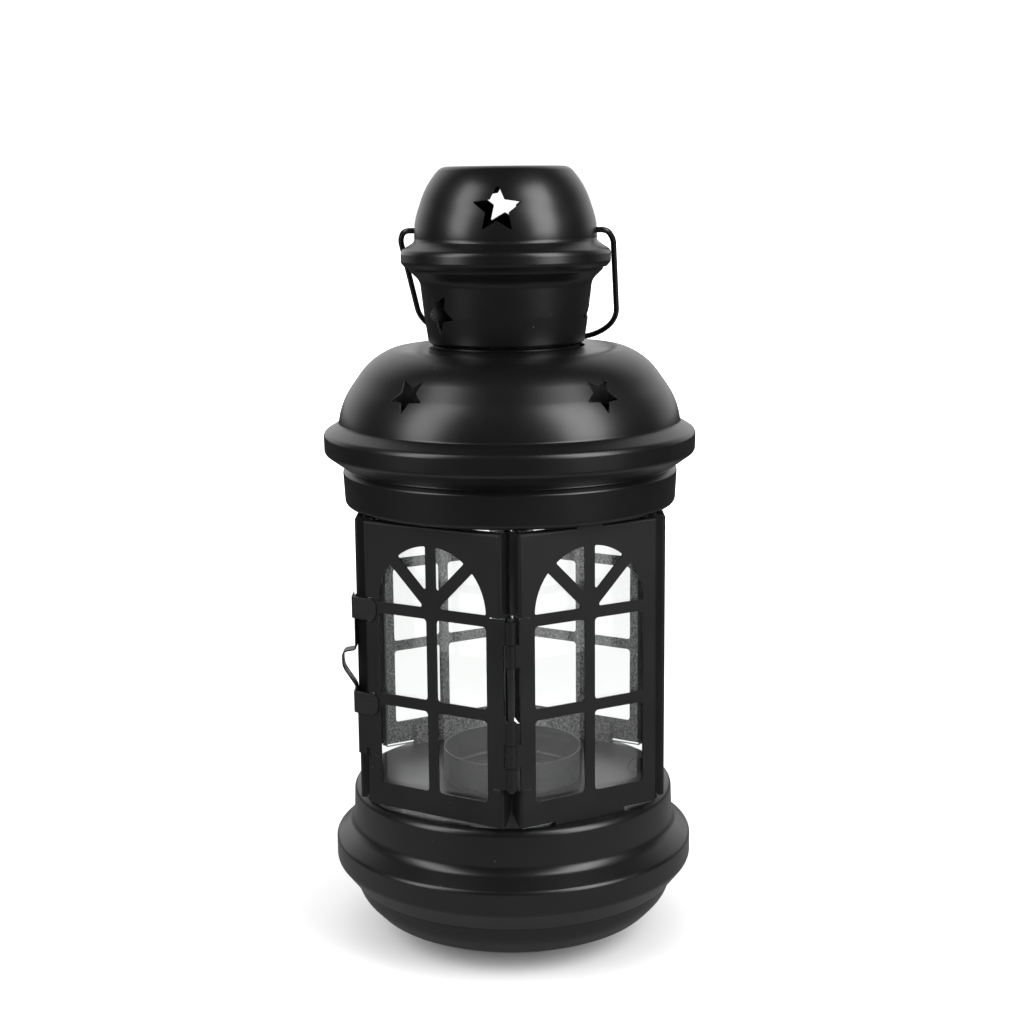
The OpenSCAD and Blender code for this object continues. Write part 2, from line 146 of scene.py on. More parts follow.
def closed_outline(corners):
    """Points and normals of a closed outline through corners (x, y, bend), anticlockwise."""
    pairs = []
    count = len(corners)
    for i in range(count):
        before, here, after = (Vector(corners[(i + k) % count][:2]) for k in (-1, 0, 1))
        if here.x == 0:
            pairs.append((here, Vector((0, 1 if before.x else -1))))
            continue
        pairs += arc_at(before, here, after, corners[i][2])
    return pairs


def moved(corners, wall):
    """The corners of an open outline moved to its left by wall."""
    out = []
    last = len(corners) - 1
    for i, (x, y, bend) in enumerate(corners):
        here = Vector((x, y))
        u = (Vector(corners[max(i, 1)][:2]) - Vector(corners[max(i, 1) - 1][:2])).normalized()
        ahead = min(i, last - 1)
        v = (Vector(corners[ahead + 1][:2]) - Vector(corners[ahead][:2])).normalized()
        turn = u.x * v.y - u.y * v.x
        p = here + (Vector((-u.y, u.x)) + Vector((-v.y, v.x))) * wall / (1 + u.dot(v))
        out.append((p.x, p.y, 0 if bend == 0 else max(bend - math.copysign(wall, turn), 0.08)))
    return out


def wall_outline(corners, wall):
    """The closed outline of a sheet wall whose outer side runs through corners, with softened edges."""
    inner = moved(corners, wall)
    loop = [list(c) for c in corners] + [list(c) for c in reversed(inner)]
    for i in (0, len(corners) - 1, len(corners), len(loop) - 1):
        loop[i][2] = 0 if loop[i][0] == 0 else EDGE_BEND * wall / SHELL
    return closed_outline(loop)


# --- Meshes of revolution, with normals from their own outline ---


def new_piece(name, mesh):
    piece = bpy.data.objects.new(name, mesh)
    bpy.context.scene.collection.objects.link(piece)
    return piece


def stand_for(piece, node):
    """Shows the piece in place of a CAD node, on the same body."""
    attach(piece, BODY_OF[node])
    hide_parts(node)


def lathe_mesh(name, outline):
    """A closed mesh of revolution about Z from (point, normal) pairs in millimetres."""
    rings, verts, faces = [], [], []
    for point, _ in outline:
        count = 1 if point.x < 1e-6 else AROUND
        rings.append((len(verts), count))
        for k in range(count):
            angle = 2 * math.pi * k / AROUND
            verts.append((point.x * math.cos(angle) * MM, point.x * math.sin(angle) * MM, point.y * MM))
    for i, (low, low_count) in enumerate(rings):
        high, high_count = rings[(i + 1) % len(rings)]
        if low_count == 1 and high_count == 1:
            continue
        for k in range(AROUND):
            m = (k + 1) % AROUND
            if low_count == 1:
                faces.append((low, high + m, high + k))
            elif high_count == 1:
                faces.append((low + k, low + m, high))
            else:
                faces.append((low + k, low + m, high + m, high + k))
    mesh = bpy.data.meshes.new(name)
    mesh.from_pydata(verts, [], faces)
    mesh.update()
    return mesh


def set_lathe_normals(mesh, outline):
    """Gives each face of the surface of revolution its outline's smooth normals; faces of a cut stay flat.

    A face belongs to the outline when it lies on it and faces the same way.
    """
    same_way = 0.93
    near = 0.15 * MM
    points = np.array([p[:] for p, _ in outline]) * MM
    normals = np.array([n[:] for _, n in outline])
    spans = np.roll(points, -1, 0) - points
    turns = np.roll(normals, -1, 0) - normals
    length2 = np.maximum((spans**2).sum(1), 1e-18)

    faces, loops = len(mesh.polygons), len(mesh.loops)
    co = np.empty(len(mesh.vertices) * 3)
    centres, flats = np.empty(faces * 3), np.empty(faces * 3)
    corners, totals = np.empty(loops, np.int32), np.empty(faces, np.int32)
    mesh.vertices.foreach_get("co", co)
    mesh.polygons.foreach_get("center", centres)
    mesh.polygons.foreach_get("normal", flats)
    mesh.polygons.foreach_get("loop_total", totals)
    mesh.loops.foreach_get("vertex_index", corners)
    centres, flats = centres.reshape(-1, 3), flats.reshape(-1, 3)
    at = co.reshape(-1, 3)[corners]

    r = np.hypot(centres[:, 0], centres[:, 1])
    radial = centres[:, :2] / np.maximum(r, 1e-9)[:, None]
    flat = np.stack([(flats[:, :2] * radial).sum(1), flats[:, 2]], 1)
    offset = np.stack([r, centres[:, 2]], 1)[:, None] - points
    t = np.clip((offset * spans).sum(2) / length2, 0, 1)
    away = np.hypot(*np.moveaxis(offset - spans * t[..., None], 2, 0))
    fits = ((normals + turns * t[..., None]) * flat[:, None]).sum(2)
    best = np.argmin(away + np.where(fits > same_way, 0, 1), 1)
    row = np.arange(faces)
    smooth = (fits[row, best] > same_way) & (away[row, best] < near)

    face = np.repeat(row, totals)
    seg = best[face]
    reach = np.hypot(at[:, 0], at[:, 1])
    step = np.stack([reach, at[:, 2]], 1) - points[seg]
    share = np.clip((step * spans[seg]).sum(1) / length2[seg], 0, 1)
    n = normals[seg] + turns[seg] * share[:, None]
    outward = np.where((reach > 1e-7)[:, None], at[:, :2] / np.maximum(reach, 1e-7)[:, None], radial[face])
    curved = np.concatenate([outward * n[:, :1], n[:, 1:]], 1)
    # Faces of a cut get the second paint; on the pressed shells that paint is lighter, a painted highlight
    # along the cut edges.
    mesh.polygons.foreach_set("material_index", np.where(smooth, 0, 1).astype(np.int32))
    mesh.polygons.foreach_set("use_smooth", [True] * faces)
    mesh.normals_split_custom_set(np.where(smooth[face][:, None], curved, flats[face]).tolist())


# --- Cutters ---


def prism(name, outline, depth):
    """A straight prism on an anticlockwise outline in millimetres, from -depth to depth along Z."""
    count = len(outline)
    verts = [(x * MM, y * MM, z * MM) for z in (-depth, depth) for x, y in outline]
    faces = [tuple(reversed(range(count))), tuple(range(count, 2 * count))]
    faces += [(i, (i + 1) % count, count + (i + 1) % count, count + i) for i in range(count)]
    mesh = bpy.data.meshes.new(name)
    mesh.from_pydata(verts, [], faces)
    mesh.update()
    return new_piece(name, mesh)


def star_cutter(azimuth, r, z, tilt, size, roll):
    """A star-shaped punch that meets the wall at the given place, its axis rising outwards by tilt."""
    corners = []
    for i in range(10):
        reach = size if i % 2 == 0 else size * STAR_WAIST
        angle = -math.radians(36 * i)
        corners.append((reach * math.sin(angle) + 1e-9, reach * math.cos(angle), STAR_TIP))
    outline = [(p.x, p.y) for p, _ in closed_outline(corners)]
    cutter = prism("star_cutter", outline, 4)
    cutter.matrix_world = (
        Matrix.Rotation(math.radians(azimuth), 4, "Z")
        @ Matrix.Translation((0, -r * MM, z * MM))
        @ Matrix.Rotation(math.radians(90 - tilt), 4, "X")
        @ Matrix.Rotation(math.radians(roll), 4, "Z")
    )
    return cutter


def slot_cutter(azimuth, z):
    """A narrow slot for a panel's tab, through a sheet at height z."""
    half = TAB_W / 2 + TAB_GAP
    near, far = -APOTHEM - TAB_GAP, -APOTHEM + SHEET + TAB_GAP
    cutter = prism("slot_cutter", [(-half, near), (half, near), (half, far), (-half, far)], 2)
    lifted = Matrix.Translation((0, 0, z * MM))
    cutter.matrix_world = lifted @ Matrix.Rotation(math.radians(azimuth), 4, "Z")
    return cutter


def circle(r, sides):
    angles = [2 * math.pi * k / sides for k in range(sides)]
    return [(r * math.cos(angle), r * math.sin(angle)) for angle in angles]


def hole_cutter(r, z):
    cutter = prism("hole_cutter", circle(r, 30), 3)
    cutter.matrix_world = Matrix.Translation((0, 0, z * MM))
    return cutter


def pivot_cutter(z, d):
    """The bail's two pivot holes in the cap."""
    cutter = prism("pivot_cutter", circle(d / 2, 24), 30)
    cutter.matrix_world = (
        Matrix.Rotation(math.radians(CAP_TURN), 4, "Z")
        @ Matrix.Translation((0, 0, z * MM))
        @ Matrix.Rotation(math.radians(90), 4, "Y")
    )
    return cutter


def cut(piece, cutters):
    """Cuts the piece with each cutter, exactly, and removes the cutters."""
    for cutter in cutters:
        modifier = piece.modifiers.new("cut", "BOOLEAN")
        modifier.operation = "DIFFERENCE"
        modifier.solver = "EXACT"
        modifier.object = cutter
    bpy.context.view_layer.update()
    evaluated = piece.evaluated_get(bpy.context.evaluated_depsgraph_get())
    mesh = bpy.data.meshes.new_from_object(evaluated)
    piece.modifiers.clear()
    piece.data = mesh
    for cutter in cutters:
        bpy.data.objects.remove(cutter)


# --- Shader nodes ---


class Paint:
    """A material under construction, with short ways to add and join nodes."""

    def __init__(self, name):
        self.material = bpy.data.materials.new(name)
        self.material.use_nodes = True
        self.nodes = self.material.node_tree.nodes
        self.links = self.material.node_tree.links
        self.shader = self.nodes["Principled BSDF"]
        self.output = self.nodes["Material Output"]
        self.place = self.add("ShaderNodeTexCoord").outputs["Object"]

    def add(self, kind, **settings):
        node = self.nodes.new(kind)
        for key, value in settings.items():
            setattr(node, key, value)
        return node

    def set(self, **values):
        for key, value in values.items():
            self.shader.inputs[key.replace("_", " ")].default_value = value

    def noise(self, scale, detail=2.0, roughness=0.5, stretch=(1, 1, 1)):
        mapping = self.add("ShaderNodeMapping")
        mapping.inputs["Scale"].default_value = stretch
        self.links.new(self.place, mapping.inputs["Vector"])
        node = self.add("ShaderNodeTexNoise")
        node.inputs["Scale"].default_value = scale
        node.inputs["Detail"].default_value = detail
        node.inputs["Roughness"].default_value = roughness
        self.links.new(mapping.outputs["Vector"], node.inputs["Vector"])
        return node.outputs["Fac"]

    def ramp(self, source, stops):
        """A grey or colour ramp; stops are (place, value or colour)."""
        node = self.add("ShaderNodeValToRGB")
        elements = node.color_ramp.elements
        while len(elements) < len(stops):
            elements.new(0.5)
        for element, (where, value) in zip(elements, stops):
            element.position = where
            element.color = (*value, 1) if isinstance(value, tuple) else (value, value, value, 1)
        self.links.new(source, node.inputs["Fac"])
        return node.outputs["Color"]

    def mix(self, factor, a, b):
        """A colour mix; a and b are colours or sockets."""
        node = self.add("ShaderNodeMix", data_type="RGBA")
        for socket, value in ((node.inputs["Factor"], factor), (node.inputs[6], a), (node.inputs[7], b)):
            if isinstance(value, bpy.types.NodeSocket):
                self.links.new(value, socket)
            elif isinstance(value, tuple):
                socket.default_value = (*value, 1)
            else:
                socket.default_value = value
        return node.outputs[2]

    def specks(self, scale, size, share):
        """Sparse round specks, 1 on a speck and 0 elsewhere; size is their radius as a share of a cell."""
        cells = self.add("ShaderNodeTexVoronoi")
        cells.inputs["Scale"].default_value = scale
        self.links.new(self.place, cells.inputs["Vector"])
        near = self.add("ShaderNodeMath", operation="LESS_THAN")
        near.inputs[1].default_value = size
        self.links.new(cells.outputs["Distance"], near.inputs[0])
        chosen = self.add("ShaderNodeSeparateColor")
        self.links.new(cells.outputs["Color"], chosen.inputs["Color"])
        some = self.add("ShaderNodeMath", operation="LESS_THAN")
        some.inputs[1].default_value = share
        self.links.new(chosen.outputs["Red"], some.inputs[0])
        both = self.add("ShaderNodeMath", operation="MULTIPLY")
        self.links.new(near.outputs[0], both.inputs[0])
        self.links.new(some.outputs[0], both.inputs[1])
        return both.outputs[0]

    def colour(self, socket):
        self.links.new(socket, self.shader.inputs["Base Color"])

    def roughness(self, socket):
        self.links.new(socket, self.shader.inputs["Roughness"])

    def bump(self, *layers):
        """Stacked bumps, each (height socket, strength, height in metres)."""
        normal = None
        for height, strength, distance in layers:
            node = self.add("ShaderNodeBump")
            node.inputs["Strength"].default_value = strength
            node.inputs["Distance"].default_value = distance
            self.links.new(height, node.inputs["Height"])
            if normal is not None:
                self.links.new(normal, node.inputs["Normal"])
            normal = node.outputs["Normal"]
        self.links.new(normal, self.shader.inputs["Normal"])


def black_paint(name, dark, light, smooth, rough, gloss, peel=0.2, dust_share=0.04):
    """Satin black paint on steel: fine orange peel, faint clouding and a few grains of dust."""
    paint = Paint(name)
    paint.set(Specular_IOR_Level=gloss)
    clouds = paint.ramp(paint.noise(55, 3), [(0.35, (dark,) * 3), (0.7, (light,) * 3)])
    dust = paint.specks(420, 0.05, dust_share)
    paint.colour(paint.mix(dust, clouds, (0.13, 0.13, 0.125)))
    paint.roughness(paint.ramp(paint.noise(120, 4, 0.6), [(0.3, smooth), (0.72, rough)]))
    paint.bump(
        (paint.noise(1500, 2, 0.5), peel, 0.00003),
        (paint.noise(170, 2, 0.5), peel * 0.5, 0.00006),
    )
    return paint.material


def overspray(name):
    """Thin grey speckled paint on the inner faces of the cage, where the spray only dusted the steel."""
    paint = Paint(name)
    paint.set(Specular_IOR_Level=0.3, Metallic=0.0)
    grains, clouds = paint.noise(1700, 2, 0.7), paint.noise(260, 3, 0.6)
    fine = paint.ramp(grains, [(0.42, (0.014, 0.015, 0.016)), (0.64, (0.24, 0.245, 0.24))])
    broad = paint.ramp(clouds, [(0.3, (0.03, 0.031, 0.032)), (0.75, (0.13, 0.134, 0.13))])
    paint.colour(paint.mix(0.3, fine, broad))
    paint.roughness(paint.ramp(paint.noise(900, 2), [(0.3, 0.42), (0.7, 0.62)]))
    paint.bump((paint.noise(2300, 2, 0.7), 0.5, 0.00003))
    return paint.material


def cup_steel(name):
    """Dark satin steel of the tealight cup, with faint drawing marks round it."""
    paint = Paint(name)
    paint.set(Metallic=0.2, Specular_IOR_Level=0.5)
    drawn = paint.noise(2200, 2, 0.5, (0.03, 0.03, 1))
    marks = paint.ramp(drawn, [(0.3, (0.026, 0.026, 0.027)), (0.7, (0.045,) * 3)])
    dust = paint.specks(420, 0.07, 0.12)
    paint.colour(paint.mix(dust, marks, (0.3, 0.3, 0.29)))
    paint.roughness(paint.ramp(paint.noise(300, 3), [(0.3, 0.34), (0.7, 0.46)]))
    paint.bump((paint.noise(1800, 2), 0.25, 0.00002))
    return paint.material


def window_glass(name):
    """Clear sheet glass with a faint green tint and a little dust, which lets lamps through."""
    paint = Paint(name)
    paint.set(Transmission_Weight=1.0, IOR=1.48, Base_Color=(0.985, 0.995, 0.988, 1))
    smudges = paint.noise(60, 4, 0.65)
    paint.roughness(paint.ramp(smudges, [(0.55, 0.0), (0.85, 0.05)]))
    clear = paint.add("ShaderNodeBsdfTransparent")
    clear.inputs["Color"].default_value = (0.98, 0.985, 0.982, 1)
    path = paint.add("ShaderNodeLightPath")
    either = paint.add("ShaderNodeMath", operation="MAXIMUM")
    paint.links.new(path.outputs["Is Shadow Ray"], either.inputs[0])
    paint.links.new(path.outputs["Is Diffuse Ray"], either.inputs[1])
    join = paint.add("ShaderNodeMixShader")
    paint.links.new(either.outputs[0], join.inputs["Fac"])
    paint.links.new(paint.shader.outputs[0], join.inputs[1])
    paint.links.new(clear.outputs[0], join.inputs[2])
    paint.links.new(join.outputs[0], paint.output.inputs["Surface"])
    return paint.material


def pane_edge(name):
    """The cut edges of the panes, which look dark green and let little light through."""
    paint = Paint(name)
    paint.set(Transmission_Weight=0.25, IOR=1.48, Base_Color=(0.055, 0.085, 0.075, 1))
    paint.roughness(paint.ramp(paint.noise(700, 3), [(0.3, 0.25), (0.7, 0.45)]))
    return paint.material


SHELL_PAINT = black_paint("shell_paint", 0.0022, 0.0034, 0.29, 0.33, 0.5, 0.1)
# Paint for the cut faces of the stars, slots and holes in the shells: lighter and glossier than the shells,
# partly the thin paint on the cut steel and partly a painted highlight in place of rounded cut edges.
EDGE_PAINT_AND_HIGHLIGHT = black_paint("edge_paint_and_highlight", 0.02, 0.05, 0.22, 0.3, 0.9)
CAGE_PAINT = black_paint("cage_paint", 0.0035, 0.0055, 0.46, 0.55, 0.28)
FITTING_PAINT = black_paint("fitting_paint", 0.0040, 0.0070, 0.32, 0.42, 0.5)
WIRE_PAINT = black_paint("wire_paint", 0.0030, 0.0050, 0.26, 0.34, 0.5, 0.1)
OVERSPRAY = overspray("overspray")
CUP_STEEL = cup_steel("cup_steel")
GLASS = window_glass("window_glass")
PANE_EDGE = pane_edge("pane_edge")


# --- Pressed shells ---


def shell_piece(node, corners, paint, edge_paint_and_highlight, wall=SHELL, cutters=(), shift=Vector()):
    """A smooth shell of revolution that stands for a CAD node, its axis moved by shift millimetres."""
    outline = wall_outline(corners, wall)
    piece = new_piece(node + "_skin", lathe_mesh(node + "_skin", outline))
    if cutters:
        cut(piece, cutters)
    piece.data.materials.clear()
    piece.data.materials.append(paint)
    piece.data.materials.append(edge_paint_and_highlight)
    set_lathe_normals(piece.data, outline)
    piece.location = shift * MM
    stand_for(piece, node)


def pressed_base():
    foot_r = 24
    rib_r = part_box("base_shell")[1].x / MM
    collar_r = 45.3
    shell_piece("base_bowl", [
        (0, BASE_Z, 0),
        (foot_r, BASE_Z, 5),
        (40.0, 7.3, 5),
        (44.4, 12.0, 10),
        (45.6, SEAM_Z - 0.6, 1),
        (45.6, SEAM_Z + 6, 0),
    ], SHELL_PAINT, EDGE_PAINT_AND_HIGHLIGHT)
    shell_piece("base_shell", [
        (46.3, SEAM_Z, 0),
        (rib_r, 22.3, 2.5),
        (rib_r, 28.6, 1.5),
        (collar_r + 0.4, 32.4, 3.5),
        (collar_r, FLOOR_Z, 2.2),
        (0, FLOOR_Z, 0),
    ], SHELL_PAINT, EDGE_PAINT_AND_HIGHLIGHT, cutters=[
        *(slot_cutter(azimuth, FLOOR_Z) for azimuth in FIXED_AZIMUTHS),
        hole_cutter(RIVET_R, FLOOR_Z),
    ])
    ridge = 0.3
    bend = 0.35
    bead = [
        corner
        for r in (7.5, 13.0)
        for corner in (
            (r - 0.9, FLOOR_Z, bend),
            (r - 0.3, FLOOR_Z + ridge, bend),
            (r + 0.3, FLOOR_Z + ridge, bend),
            (r + 0.9, FLOOR_Z, bend),
        )
    ]
    shell_piece("tealight_cup", [
        (0, FLOOR_Z, 0),
        *bead,
        (CUP_R, FLOOR_Z, 1.4),
        (CUP_R, CUP_TOP, 0),
    ], CUP_STEEL, CUP_STEEL, CUP_WALL, [hole_cutter(RIVET_R, FLOOR_Z)])


def pressed_roof():
    rib_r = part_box("roof_dome")[1].x / MM
    ring_hole_r = 36.5
    chimney_r = 20.2
    shell_piece("roof_ring", [
        (ring_hole_r, RING_Z, 0),
        (45.9, RING_Z, 1.5),
        (46.4, DOME_Z - 1.6, 0.8),
        (45.3, DOME_Z - 0.3, 0.6),
        (45.2, DOME_Z + 5, 0),
    ], SHELL_PAINT, EDGE_PAINT_AND_HIGHLIGHT, cutters=[
        slot_cutter(azimuth, RING_Z + SHELL) for azimuth in FIXED_AZIMUTHS
    ])
    shell_piece("roof_dome", [
        (45.9, DOME_Z, 0),
        (rib_r - 0.1, 139.0, 1.6),
        (rib_r, 144.4, 1.8),
        (47.3, 146.9, 0.9),
        (46.45, 152.7, 21),
        (38.35, 164.2, 18),
        (31.6, DOME_TOP - 0.35, 9),
        (chimney_r + 0.75, DOME_TOP, 0),
    ], SHELL_PAINT, EDGE_PAINT_AND_HIGHLIGHT, cutters=[
        star_cutter(34.4 + 360 / DOME_STARS * i, 42.7, 157.8, 33, 5.65, 180) for i in range(DOME_STARS)
    ])
    shell_piece("chimney", [
        (chimney_r, DOME_TOP - 2.6, 0),
        (chimney_r, DOME_TOP + 0.3, 0.3),
        (21.5, DOME_TOP + 1.3, 0.9),
        (22.6, 176.5, 30),
        (23.6, 185.5, 4),
        (26.5, 188.3, 1.2),
        (27.1, 191.3, 0),
    ], SHELL_PAINT, EDGE_PAINT_AND_HIGHLIGHT, cutters=[
        star_cutter(azimuth, 22.7, 177.5, -7, 6.2, 180) for azimuth in (-53, 83, 195.5)
    ], shift=ROOF_SHIFT)
    shell_piece("cap", [
        (27.6, CAP_Z, 0),
        (28.7, 190.4, 1.3),
        (28.7, 193.6, 1.8),
        (24.9, 196.1, 1.5),
        (25.05, 200.8, 20),
        (21.6, 211.05, 22),
        (17.4, TOP_Z, 3.7),
        (0, TOP_Z, 0),
    ], SHELL_PAINT, EDGE_PAINT_AND_HIGHLIGHT, cutters=[
        star_cutter(CAP_TURN + 1.6, 23.5, 205.0, 18, 6.9, 0),
        star_cutter(CAP_TURN + 187.3, 23.3, 206.6, 18, 6.9, 0),
        pivot_cutter(BAIL_Z, WIRE_D + 0.16),
    ], shift=ROOF_SHIFT)


# --- Bail ---


def wire_line(corners):
    """The centre line of the wire in the bail's own plane, across and down."""
    line = [Vector(corners[0][:2])]
    for i in range(1, len(corners) - 1):
        before, here, after = (Vector(corners[i + k][:2]) for k in (-1, 0, 1))
        line += [point for point, _ in arc_at(before, here, after, corners[i][2])]
    line.append(Vector(corners[-1][:2]))
    return line


def bail():
    """The bent wire, swept as one tube with rounded ends."""
    sides = 24
    line = wire_line(BAIL_CORNERS)
    stations = []
    last = len(line) - 1
    for i, point in enumerate(line):
        along = (line[min(i + 1, last)] - line[max(i - 1, 0)]).normalized()
        stations.append((point, along, WIRE_D / 2))
    first, end = stations[0], stations[-1]
    cap = [(0.0, 0.62), (0.05, 0.82), (0.14, 0.95), (0.3, 1.0)]
    head = [(first[0] + first[1] * d, first[1], WIRE_D / 2 * k) for d, k in cap]
    tail = [(end[0] - end[1] * d, end[1], WIRE_D / 2 * k) for d, k in reversed(cap)]
    stations = head + stations[1:-1] + tail

    place = (
        Matrix.Translation(ROOF_SHIFT * MM)
        @ Matrix.Rotation(math.radians(CAP_TURN), 4, "Z")
        @ Matrix.Translation((BAIL_SHIFT * MM, 0, BAIL_Z * MM))
        @ Matrix.Rotation(math.radians(BAIL_LEAN), 4, "X")
    )
    verts = []
    for point, along, r in stations:
        across = Vector((-along.y, along.x))
        for k in range(sides):
            angle = 2 * math.pi * k / sides
            flat = point + across * r * math.cos(angle)
            verts.append(place @ (Vector((flat.x, r * math.sin(angle), -flat.y)) * MM))
    faces = [
        (i * sides + k, i * sides + (k + 1) % sides, (i + 1) * sides + (k + 1) % sides, (i + 1) * sides + k)
        for i in range(len(stations) - 1)
        for k in range(sides)
    ]
    faces += [tuple(range(sides)), tuple((len(stations) - 1) * sides + k for k in reversed(range(sides)))]
    mesh = bpy.data.meshes.new("bail_wire")
    mesh.from_pydata(verts, [], faces)
    work = bmesh.new()
    work.from_mesh(mesh)
    bmesh.ops.recalc_face_normals(work, faces=work.faces)
    work.to_mesh(mesh)
    work.free()
    mesh.polygons.foreach_set("use_smooth", [True] * len(mesh.polygons))
    mesh.materials.append(WIRE_PAINT)
    piece = new_piece("bail_wire", mesh)
    stand_for(piece, "bail_handle")


# --- Sheet parts: the CAD shape with its edges softened ---

SAME_POINT = 2e-6
SAME_PLANE = math.radians(0.8)
PANE_OF = {
    "door_panel": "glass_door",
    "panel_front_right": "glass_front_right",
    "panel_right": "glass_right",
    "panel_back_right": "glass_back_right",
    "panel_back_left": "glass_back_left",
    "panel_left": "glass_left",
}


def cad_sheet(node, materials, smooth):
    """A copy of a CAD node's mesh with its flat faces made whole again."""
    mesh = frame["nodes"][node].data.copy()
    work = bmesh.new()
    work.from_mesh(mesh)
    bmesh.ops.remove_doubles(work, verts=work.verts, dist=SAME_POINT)
    bmesh.ops.dissolve_limit(work, angle_limit=SAME_PLANE, verts=work.verts, edges=work.edges)
    work.to_mesh(mesh)
    work.free()
    mesh.materials.clear()
    for material in materials:
        mesh.materials.append(material)
    mesh.polygons.foreach_set("use_smooth", [smooth] * len(mesh.polygons))
    return mesh


def softened(node, edge, *paints):
    """A copy of a CAD node with its sheet edges rounded over. A second paint goes on its inner side."""
    mesh = cad_sheet(node, paints, smooth=True)
    if len(paints) > 1:
        paint_inside(mesh, node)
    piece = new_piece(node + "_sheet", mesh)
    bevel = piece.modifiers.new("edges", "BEVEL")
    bevel.width = edge * MM
    bevel.segments = 2
    bevel.limit_method = "ANGLE"
    bevel.angle_limit = math.radians(40)
    weighted = piece.modifiers.new("shading", "WEIGHTED_NORMAL")
    weighted.weight = 80
    stand_for(piece, node)


def outward_of(node):
    """The horizontal direction that a cage panel faces."""
    low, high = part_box(PANE_OF[node])
    centre = (low + high) / 2
    return Vector((centre.x, centre.y, 0)).normalized()


def paint_inside(mesh, node):
    """Gives the faces behind a panel's front sheet the second material."""
    outward = outward_of(node)
    front = max(v.co.dot(outward) for v in mesh.vertices)
    for face in mesh.polygons:
        depth = front - face.center.dot(outward)
        faces_in = face.normal.dot(outward) < -0.5
        if faces_in and depth > 0.3 * SHEET * MM:
            face.material_index = 1


def pane(node):
    """A pane of glass with eased, dark edges, which stands for the CAD pane."""
    mesh = cad_sheet(node, (GLASS, PANE_EDGE), smooth=False)
    big = max(face.area for face in mesh.polygons)
    mesh.polygons.foreach_set("material_index", [0 if face.area > big / 2 else 1 for face in mesh.polygons])
    piece = new_piece(node + "_pane", mesh)
    bevel = piece.modifiers.new("eased", "BEVEL")
    bevel.width = 0.12 * MM
    bevel.segments = 1
    bevel.material = 1
    stand_for(piece, node)


def cage():
    for panel, glass in PANE_OF.items():
        softened(panel, 0.09, CAGE_PAINT, OVERSPRAY)
        pane(glass)
    for fitting in ("latch_clip_upper", "latch_clip_lower", "latch_strip"):
        softened(fitting, 0.08, FITTING_PAINT)
    softened("hinge_pin", 0.2, FITTING_PAINT)
    softened("cup_rivet", 0.25, CUP_STEEL)


# --- Studio ---


def around(azimuth, elevation, distance, centre):
    """A point round the object; azimuth 0 is in front of it, and 90 on its right."""
    a, e = math.radians(azimuth), math.radians(elevation)
    return centre + Vector((math.sin(a) * math.cos(e), -math.cos(a) * math.cos(e), math.sin(e))) * distance


def softbox(name, azimuth, elevation, distance, width, height, radiance, centre):
    light = bpy.data.lights.new(name, "AREA")
    light.shape = "RECTANGLE"
    light.size, light.size_y = width, height
    light.energy = radiance * math.pi * width * height
    lamp = bpy.data.objects.new(name, light)
    bpy.context.scene.collection.objects.link(lamp)
    lamp.location = around(azimuth, elevation, distance, centre)
    lamp.rotation_euler = (centre - lamp.location).to_track_quat("-Z", "Y").to_euler()


def looked_at(nodes, links):
    """1 for what the camera sees directly or through glass, 0 for reflections and bounced light."""
    path = nodes.new("ShaderNodeLightPath")
    either = nodes.new("ShaderNodeMath")
    either.operation = "MAXIMUM"
    links.new(path.outputs["Is Camera Ray"], either.inputs[0])
    links.new(path.outputs["Is Transmission Ray"], either.inputs[1])
    return either.outputs[0]


def studio_floor(z, albedo, through_glass, mirrored_near, mirrored_far):
    """A white floor, a little greyer through glass, and dimmer in reflections, most of all far away."""
    reach = 9.0
    mesh = bpy.data.meshes.new("studio_floor")
    corners = [(-reach, -reach, z), (reach, -reach, z), (reach, reach, z), (-reach, reach, z)]
    mesh.from_pydata(corners, [], [(0, 1, 2, 3)])
    floor = new_piece("studio_floor", mesh)
    paint = Paint("studio_white")
    paint.set(Roughness=0.9, Specular_IOR_Level=0.0, Emission_Color=(1, 1, 1, 1))
    distance = paint.add("ShaderNodeVectorMath", operation="LENGTH")
    paint.links.new(paint.place, distance.inputs[0])

    def falling(near, far, low, high):
        spread = paint.add("ShaderNodeMapRange", interpolation_type="SMOOTHSTEP")
        for name, value in (("From Min", near), ("From Max", far), ("To Min", low), ("To Max", high)):
            spread.inputs[name].default_value = value
        paint.links.new(distance.outputs["Value"], spread.inputs["Value"])
        return spread.outputs["Result"]

    path = paint.add("ShaderNodeLightPath")
    aside = paint.add("ShaderNodeMix")
    paint.links.new(path.outputs["Is Transmission Ray"], aside.inputs["Factor"])
    paint.links.new(falling(0.08, 0.4, mirrored_near, mirrored_far), aside.inputs["A"])
    aside.inputs["B"].default_value = through_glass
    tint = paint.add("ShaderNodeMix")
    paint.links.new(path.outputs["Is Glossy Ray"], tint.inputs["Factor"])
    tint.inputs["A"].default_value = albedo
    paint.links.new(aside.outputs["Result"], tint.inputs["B"])
    paint.colour(tint.outputs["Result"])
    seen = paint.add("ShaderNodeMath", operation="MULTIPLY")
    paint.links.new(falling(0.1, 0.9, 0, 1), seen.inputs[0])
    paint.links.new(path.outputs["Is Camera Ray"], seen.inputs[1])
    paint.links.new(seen.outputs[0], paint.shader.inputs["Emission Strength"])
    mesh.materials.append(paint.material)


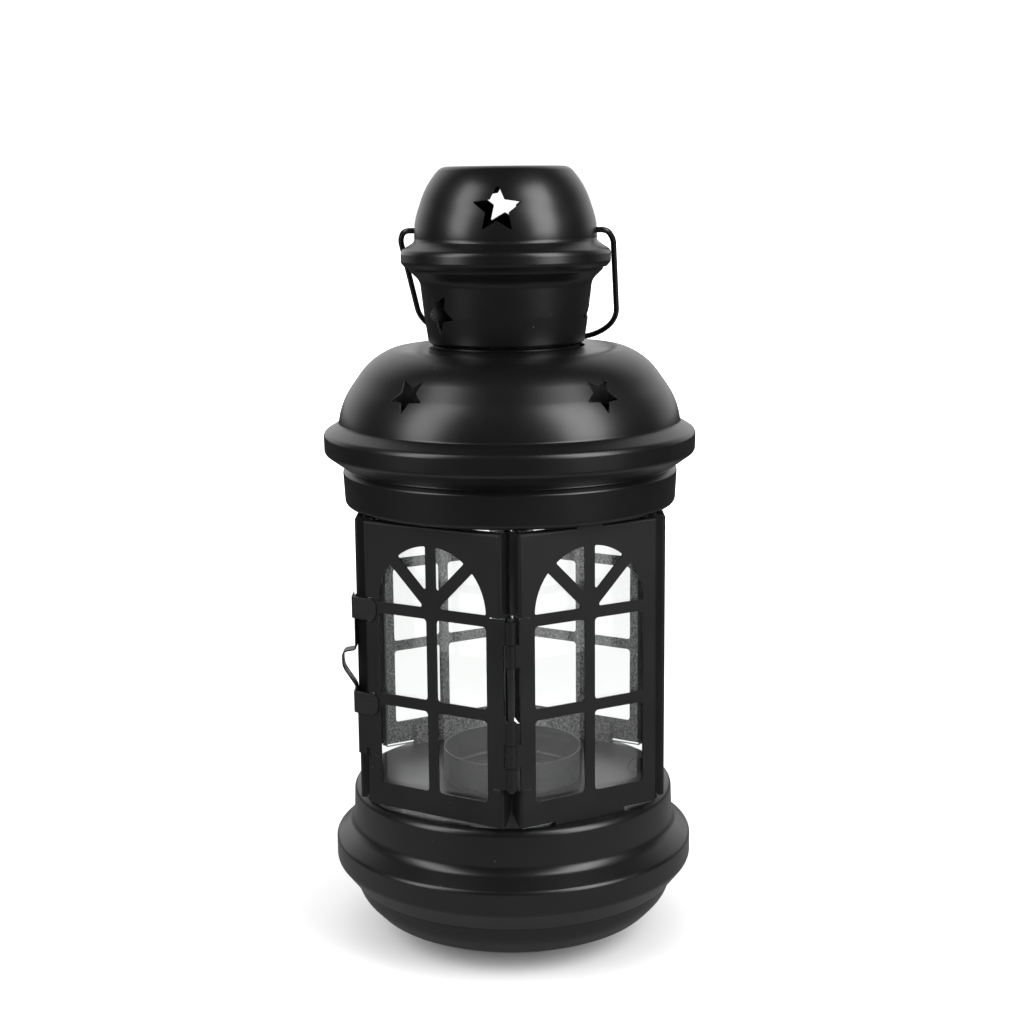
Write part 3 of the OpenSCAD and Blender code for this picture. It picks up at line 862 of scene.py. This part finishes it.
def studio_air(front, back, soft, seen):
    """The air round the object.

    Reflections find a white backdrop behind it and dark air in front, and bounced light finds an even
    glow. Where the air is looked at directly it is plain white.
    """
    world = bpy.data.worlds.new("studio_air")
    bpy.context.scene.world = world
    world.use_nodes = True
    world.cycles.sampling_method = "NONE"
    nodes, links = world.node_tree.nodes, world.node_tree.links
    background = nodes["Background"]
    place = nodes.new("ShaderNodeTexCoord")
    split = nodes.new("ShaderNodeSeparateXYZ")
    links.new(place.outputs["Generated"], split.inputs[0])
    level = nodes.new("ShaderNodeMapRange")
    level.interpolation_type = "SMOOTHSTEP"
    for name, value in (("From Min", 0.3), ("From Max", 0.8), ("To Min", front), ("To Max", back)):
        level.inputs[name].default_value = value
    links.new(split.outputs["Y"], level.inputs["Value"])
    strength = level.outputs["Result"]
    bounced = nodes.new("ShaderNodeLightPath").outputs["Is Diffuse Ray"]
    for chosen, value in ((bounced, soft), (looked_at(nodes, links), seen)):
        pick = nodes.new("ShaderNodeMix")
        links.new(chosen, pick.inputs["Factor"])
        links.new(strength, pick.inputs["A"])
        pick.inputs["B"].default_value = value
        strength = pick.outputs["Result"]
    links.new(strength, background.inputs["Strength"])
    background.inputs["Color"].default_value = (1, 1, 1, 1)


def camera():
    """The view from in front, level with the cap and looking a little down."""
    away, up, aside = 0.48434, 0.21095, 0.00046
    turn, pitch, roll = math.radians(0.2946), 0.184, -0.0093
    data = bpy.data.cameras.new("camera")
    data.sensor_width = 36
    data.lens = 61.75
    data.clip_start, data.clip_end = 0.01, 50
    eye = bpy.data.objects.new("camera", data)
    bpy.context.scene.collection.objects.link(eye)
    eye.matrix_world = (
        Matrix.Rotation(turn, 4, "Z")
        @ Matrix.Translation((aside, -away, up))
        @ Matrix.Rotation(math.pi / 2 - pitch, 4, "X")
        @ Matrix.Rotation(roll, 4, "Z")
    )
    bpy.context.scene.camera = eye


def studio():
    low, high = cad_box
    centre = (low + high) / 2
    studio_floor(low.z - 0.0002, albedo=0.78, through_glass=0.6, mirrored_near=0.21, mirrored_far=0.04)
    studio_air(front=0.03, back=1.0, soft=1.3, seen=1.08)
    softbox("right_box", 51, 29, 1.0, 0.50, 1.00, 7.2, centre)
    softbox("left_box", -60, 29, 1.0, 0.40, 1.00, 5.4, centre)
    scene = bpy.context.scene
    scene.view_settings.view_transform = "Standard"
    scene.view_settings.look = "None"


camera()
pressed_base()
pressed_roof()
bail()
cage()
studio()
